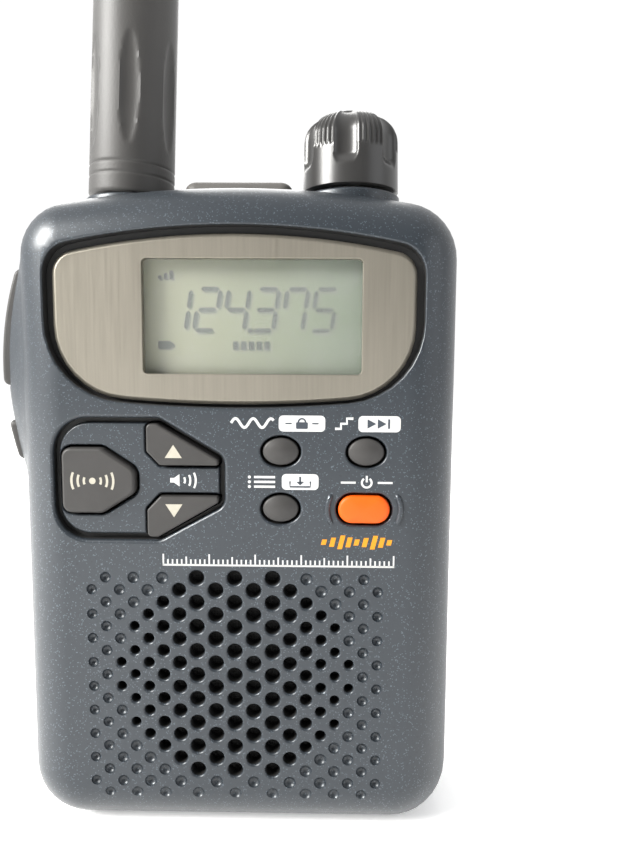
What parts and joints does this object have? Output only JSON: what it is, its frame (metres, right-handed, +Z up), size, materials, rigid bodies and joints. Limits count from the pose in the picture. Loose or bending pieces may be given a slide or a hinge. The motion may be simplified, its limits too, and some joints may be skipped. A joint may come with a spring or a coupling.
{
  "type": "handheld communications receiver",
  "caption": "Pocket air-band receiver with whip aerial, tuning knob, liquid-crystal display, sprung keys and a perforated loudspeaker grille.",
  "frame": {"origin": "middle of the flat foot of the case, on the surface the radio stands on", "axes": "+Z up along the antenna, front face with display and keys towards -Y, +X to the right seen from the front"},
  "size_m": [0.062, 0.0275, 0.2324],
  "materials": {
    "case_plastic": "moulded plastic with a dark blue-grey pearl paint, fine sparkle, satin",
    "panel_satin": "satin champagne metallic paint behind a clear coat",
    "clear_plastic": "clear moulded plastic",
    "lcd": "grey-green reflective liquid-crystal glass",
    "key_rubber": "warm dark grey coated rubber, satin",
    "power_orange": "bright orange coated rubber, satin",
    "black_rubber": "black silicone rubber",
    "aerial_rubber": "black moulded rubber, dull",
    "knob_plastic": "black moulded plastic, half gloss",
    "cap_rubber": "soft dark rubber, dull",
    "black_plastic": "black engineering plastic",
    "white_plastic": "white plastic",
    "board_green": "green printed circuit board",
    "chip_black": "black epoxy",
    "filter_ceramic": "ceramic filter blocks",
    "tin_steel": "tinned steel sheet",
    "screw_steel": "zinc-plated steel",
    "brass": "turned brass",
    "copper_wire": "coiled copper wire on a plastic rod",
    "cloth": "black felt cloth",
    "cone_paper": "coated paper cone",
    "magnet_iron": "plated iron cup round a magnet",
    "cell_wrap": "printed plastic sleeve over a steel can",
    "spring_steel": "nickel-plated spring steel"
  },
  "bodies": {
    "radio": {"front_case": "case_plastic", "rear_case": "case_plastic", "case_seal": "black_rubber", "case_screws": "screw_steel", "display_panel": "panel_satin", "display_window": "clear_plastic", "lcd_glass": "lcd", "lcd_holder": "white_plastic", "light_guide": "white_plastic", "zebra_strips": "black_rubber", "key_seal_sheet": "black_rubber", "dome_sheet": "tin_steel", "side_switches": "black_plastic", "side_board": "board_green", "logic_board": "board_green", "logic_chips": "chip_black", "board_screws": "screw_steel", "board_link": "white_plastic", "rf_board": "board_green", "rf_filters": "filter_ceramic", "rf_shield": "tin_steel", "encoder_body": "tin_steel", "encoder_nut": "screw_steel", "antenna_connector": "brass", "connector_nut": "brass", "phone_jack": "black_plastic", "power_jack": "black_plastic", "speaker_cloth": "cloth", "speaker_frame": "tin_steel", "speaker_magnet": "magnet_iron", "left_cell": "cell_wrap", "right_cell": "cell_wrap", "battery_springs": "spring_steel", "battery_contacts": "spring_steel"},
    "band_button": {"band_key": "key_rubber"},
    "vol_up_button": {"vol_up_key": "key_rubber"},
    "vol_down_button": {"vol_down_key": "key_rubber"},
    "mode_button": {"mode_key": "key_rubber"},
    "step_button": {"step_key": "key_rubber"},
    "memory_button": {"memory_key": "key_rubber"},
    "power_button": {"power_key": "power_orange"},
    "func_button": {"func_key": "key_rubber"},
    "squelch_button": {"squelch_key": "key_rubber"},
    "knob": {"tuning_knob": "knob_plastic", "encoder_shaft": "screw_steel"},
    "antenna_contact": {"antenna_pin": "brass"},
    "antenna": {"antenna_plug": "brass", "antenna_sleeve": "aerial_rubber", "antenna_core": "copper_wire"},
    "jack_flap": {"jack_cap": "cap_rubber"},
    "cone": {"speaker_cone": "cone_paper"},
    "cover": {"battery_cover": "case_plastic"}
  },
  "joints": [
    {"name": "band_press", "type": "slide", "parent": "radio", "child": "band_button", "axis": [0, 1, 0], "range_m": [0, 0.0005], "stiffness_N_per_m": 400, "springref_m": -0.001},
    {"name": "vol_up_press", "type": "slide", "parent": "radio", "child": "vol_up_button", "axis": [0, 1, 0], "range_m": [0, 0.0005], "stiffness_N_per_m": 400, "springref_m": -0.001},
    {"name": "vol_down_press", "type": "slide", "parent": "radio", "child": "vol_down_button", "axis": [0, 1, 0], "range_m": [0, 0.0005], "stiffness_N_per_m": 400, "springref_m": -0.001},
    {"name": "mode_press", "type": "slide", "parent": "radio", "child": "mode_button", "axis": [0, 1, 0], "range_m": [0, 0.0005], "stiffness_N_per_m": 400, "springref_m": -0.001},
    {"name": "step_press", "type": "slide", "parent": "radio", "child": "step_button", "axis": [0, 1, 0], "range_m": [0, 0.0005], "stiffness_N_per_m": 400, "springref_m": -0.001},
    {"name": "memory_press", "type": "slide", "parent": "radio", "child": "memory_button", "axis": [0, 1, 0], "range_m": [0, 0.0005], "stiffness_N_per_m": 400, "springref_m": -0.001},
    {"name": "power_press", "type": "slide", "parent": "radio", "child": "power_button", "axis": [0, 1, 0], "range_m": [0, 0.0005], "stiffness_N_per_m": 400, "springref_m": -0.001},
    {"name": "func_press", "type": "slide", "parent": "radio", "child": "func_button", "axis": [1, 0, 0], "range_m": [0, 0.0005], "stiffness_N_per_m": 400, "springref_m": -0.001},
    {"name": "squelch_press", "type": "slide", "parent": "radio", "child": "squelch_button", "axis": [1, 0, 0], "range_m": [0, 0.0005], "stiffness_N_per_m": 400, "springref_m": -0.001},
    {"name": "knob_turn", "type": "hinge", "parent": "radio", "child": "knob", "pos_m": [0.015, -0.0003, 0.08], "axis": [0, 0, 1], "continuous": true},
    {"name": "antenna_lift", "type": "slide", "parent": "radio", "child": "antenna_contact", "axis": [0, 0, 1], "range_m": [0, 0.0035]},
    {"name": "antenna_turn", "type": "hinge", "parent": "antenna_contact", "child": "antenna", "pos_m": [-0.0162, -0.0003, 0.088], "axis": [0, 0, 1], "range_deg": [0, 1800]},
    {"name": "jack_cap_swing", "type": "hinge", "parent": "radio", "child": "jack_flap", "pos_m": [-0.0006, 0.0033, 0.08735], "axis": [-1, 0, 0], "range_deg": [0, 110]},
    {"name": "cone_stroke", "type": "slide", "parent": "radio", "child": "cone", "axis": [0, 1, 0], "range_m": [-0.0003, 0.0003], "stiffness_N_per_m": 1500},
    {"name": "cover_slide", "type": "slide", "parent": "radio", "child": "cover", "axis": [0, 0, -1], "range_m": [0, 0.058]}
  ],
  "couplings": [
    {"joint": "antenna_turn", "follows": "antenna_lift", "rad_per_m": 8976}
  ]
}
